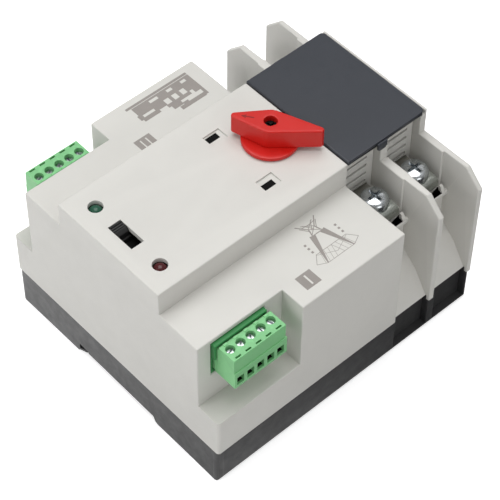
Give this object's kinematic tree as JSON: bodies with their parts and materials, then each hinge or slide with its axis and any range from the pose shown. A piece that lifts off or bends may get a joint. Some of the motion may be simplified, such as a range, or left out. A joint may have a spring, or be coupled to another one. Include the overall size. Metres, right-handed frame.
{
  "type": "manual transfer switch",
  "caption": "Rail-mounted changeover switch with a pointed rotary handle, barriered screw terminals, plug-in control connectors and a slide selector.",
  "frame": {"origin": "centre of the footprint on the rear plane", "axes": "+X along the mounting rail towards the control end, +Y across the rail, +Z out of the front"},
  "size_m": [0.1416, 0.126, 0.1003],
  "materials": {
    "dark_plastic": "fine texture",
    "light_plastic": "fine texture",
    "cover_plastic": "satin",
    "red_plastic": "satin",
    "green_plastic": "satin",
    "header_plastic": "satin",
    "copper": "machined",
    "tinned_copper": "tin plated",
    "silver": "contact face",
    "zinc_steel": "zinc plated",
    "steel": "plain",
    "winding": "enamelled wire",
    "board": "laminate",
    "part_plastic": "moulded",
    "black_plastic": "moulded",
    "ivory_plastic": "moulded",
    "lamp_green": "clear",
    "lamp_red": "clear"
  },
  "bodies": {
    "frame": {"base": "dark_plastic", "housing": "light_plastic", "cover": "cover_plastic", "window_lenses": "black_plastic", "vent_plates": "light_plastic", "busbars": "tinned_copper", "fixed_contacts": "silver", "saddle_clamps": "zinc_steel", "terminal_screws": "zinc_steel", "captive_nuts": "zinc_steel", "housing_screws": "steel", "coil_bobbins": "black_plastic", "coil_windings": "winding", "coil_yokes": "steel", "power_board": "board", "display_board": "board", "board_spacers": "ivory_plastic", "relays": "part_plastic", "transformer": "part_plastic", "plug_headers": "header_plastic", "header_pins": "zinc_steel", "led_green": "lamp_green", "led_red": "lamp_red", "switch_body": "black_plastic", "microswitches": "black_plastic", "guide_rods": "steel", "knob_bearing": "ivory_plastic"},
    "knob": {"knob": "red_plastic", "knob_screw": "steel", "knob_shaft": "steel", "pinion": "ivory_plastic"},
    "carriage": {"carriage": "ivory_plastic", "rack": "ivory_plastic", "moving_contacts": "copper", "plunger_rod": "steel", "flag_plate": "black_plastic"},
    "mode_slider": {"mode_slider": "black_plastic"},
    "rail_latch": {"rail_latch": "black_plastic", "latch_spring": "steel"},
    "plug_a": {"plug_a": "green_plastic", "plug_a_screws": "zinc_steel"},
    "plug_b": {"plug_b": "green_plastic", "plug_b_screws": "zinc_steel"}
  },
  "joints": [
    {"name": "knob_turn", "type": "hinge", "parent": "frame", "child": "knob", "pos_m": [-0.0127, 0, 0.09], "axis": [0, 0, 1], "range_deg": [0, 109.5]},
    {"name": "carriage_slide", "type": "slide", "parent": "frame", "child": "carriage", "axis": [0, 1, 0], "range_m": [0, 0.01145]},
    {"name": "mode_slide", "type": "slide", "parent": "frame", "child": "mode_slider", "axis": [0, 1, 0], "range_m": [0, 0.0086]},
    {"name": "latch_slide", "type": "slide", "parent": "frame", "child": "rail_latch", "axis": [0, -1, 0], "range_m": [0, 0.004], "stiffness_N_per_m": 500, "springref_m": -0.002},
    {"name": "plug_a_pull", "type": "slide", "parent": "frame", "child": "plug_a", "axis": [0, 1, 0], "range_m": [0, 0.012]},
    {"name": "plug_b_pull", "type": "slide", "parent": "frame", "child": "plug_b", "axis": [0, -1, 0], "range_m": [0, 0.012]}
  ],
  "couplings": [
    {"joint": "knob_turn", "follows": "carriage_slide", "rad_per_m": 166.67}
  ]
}
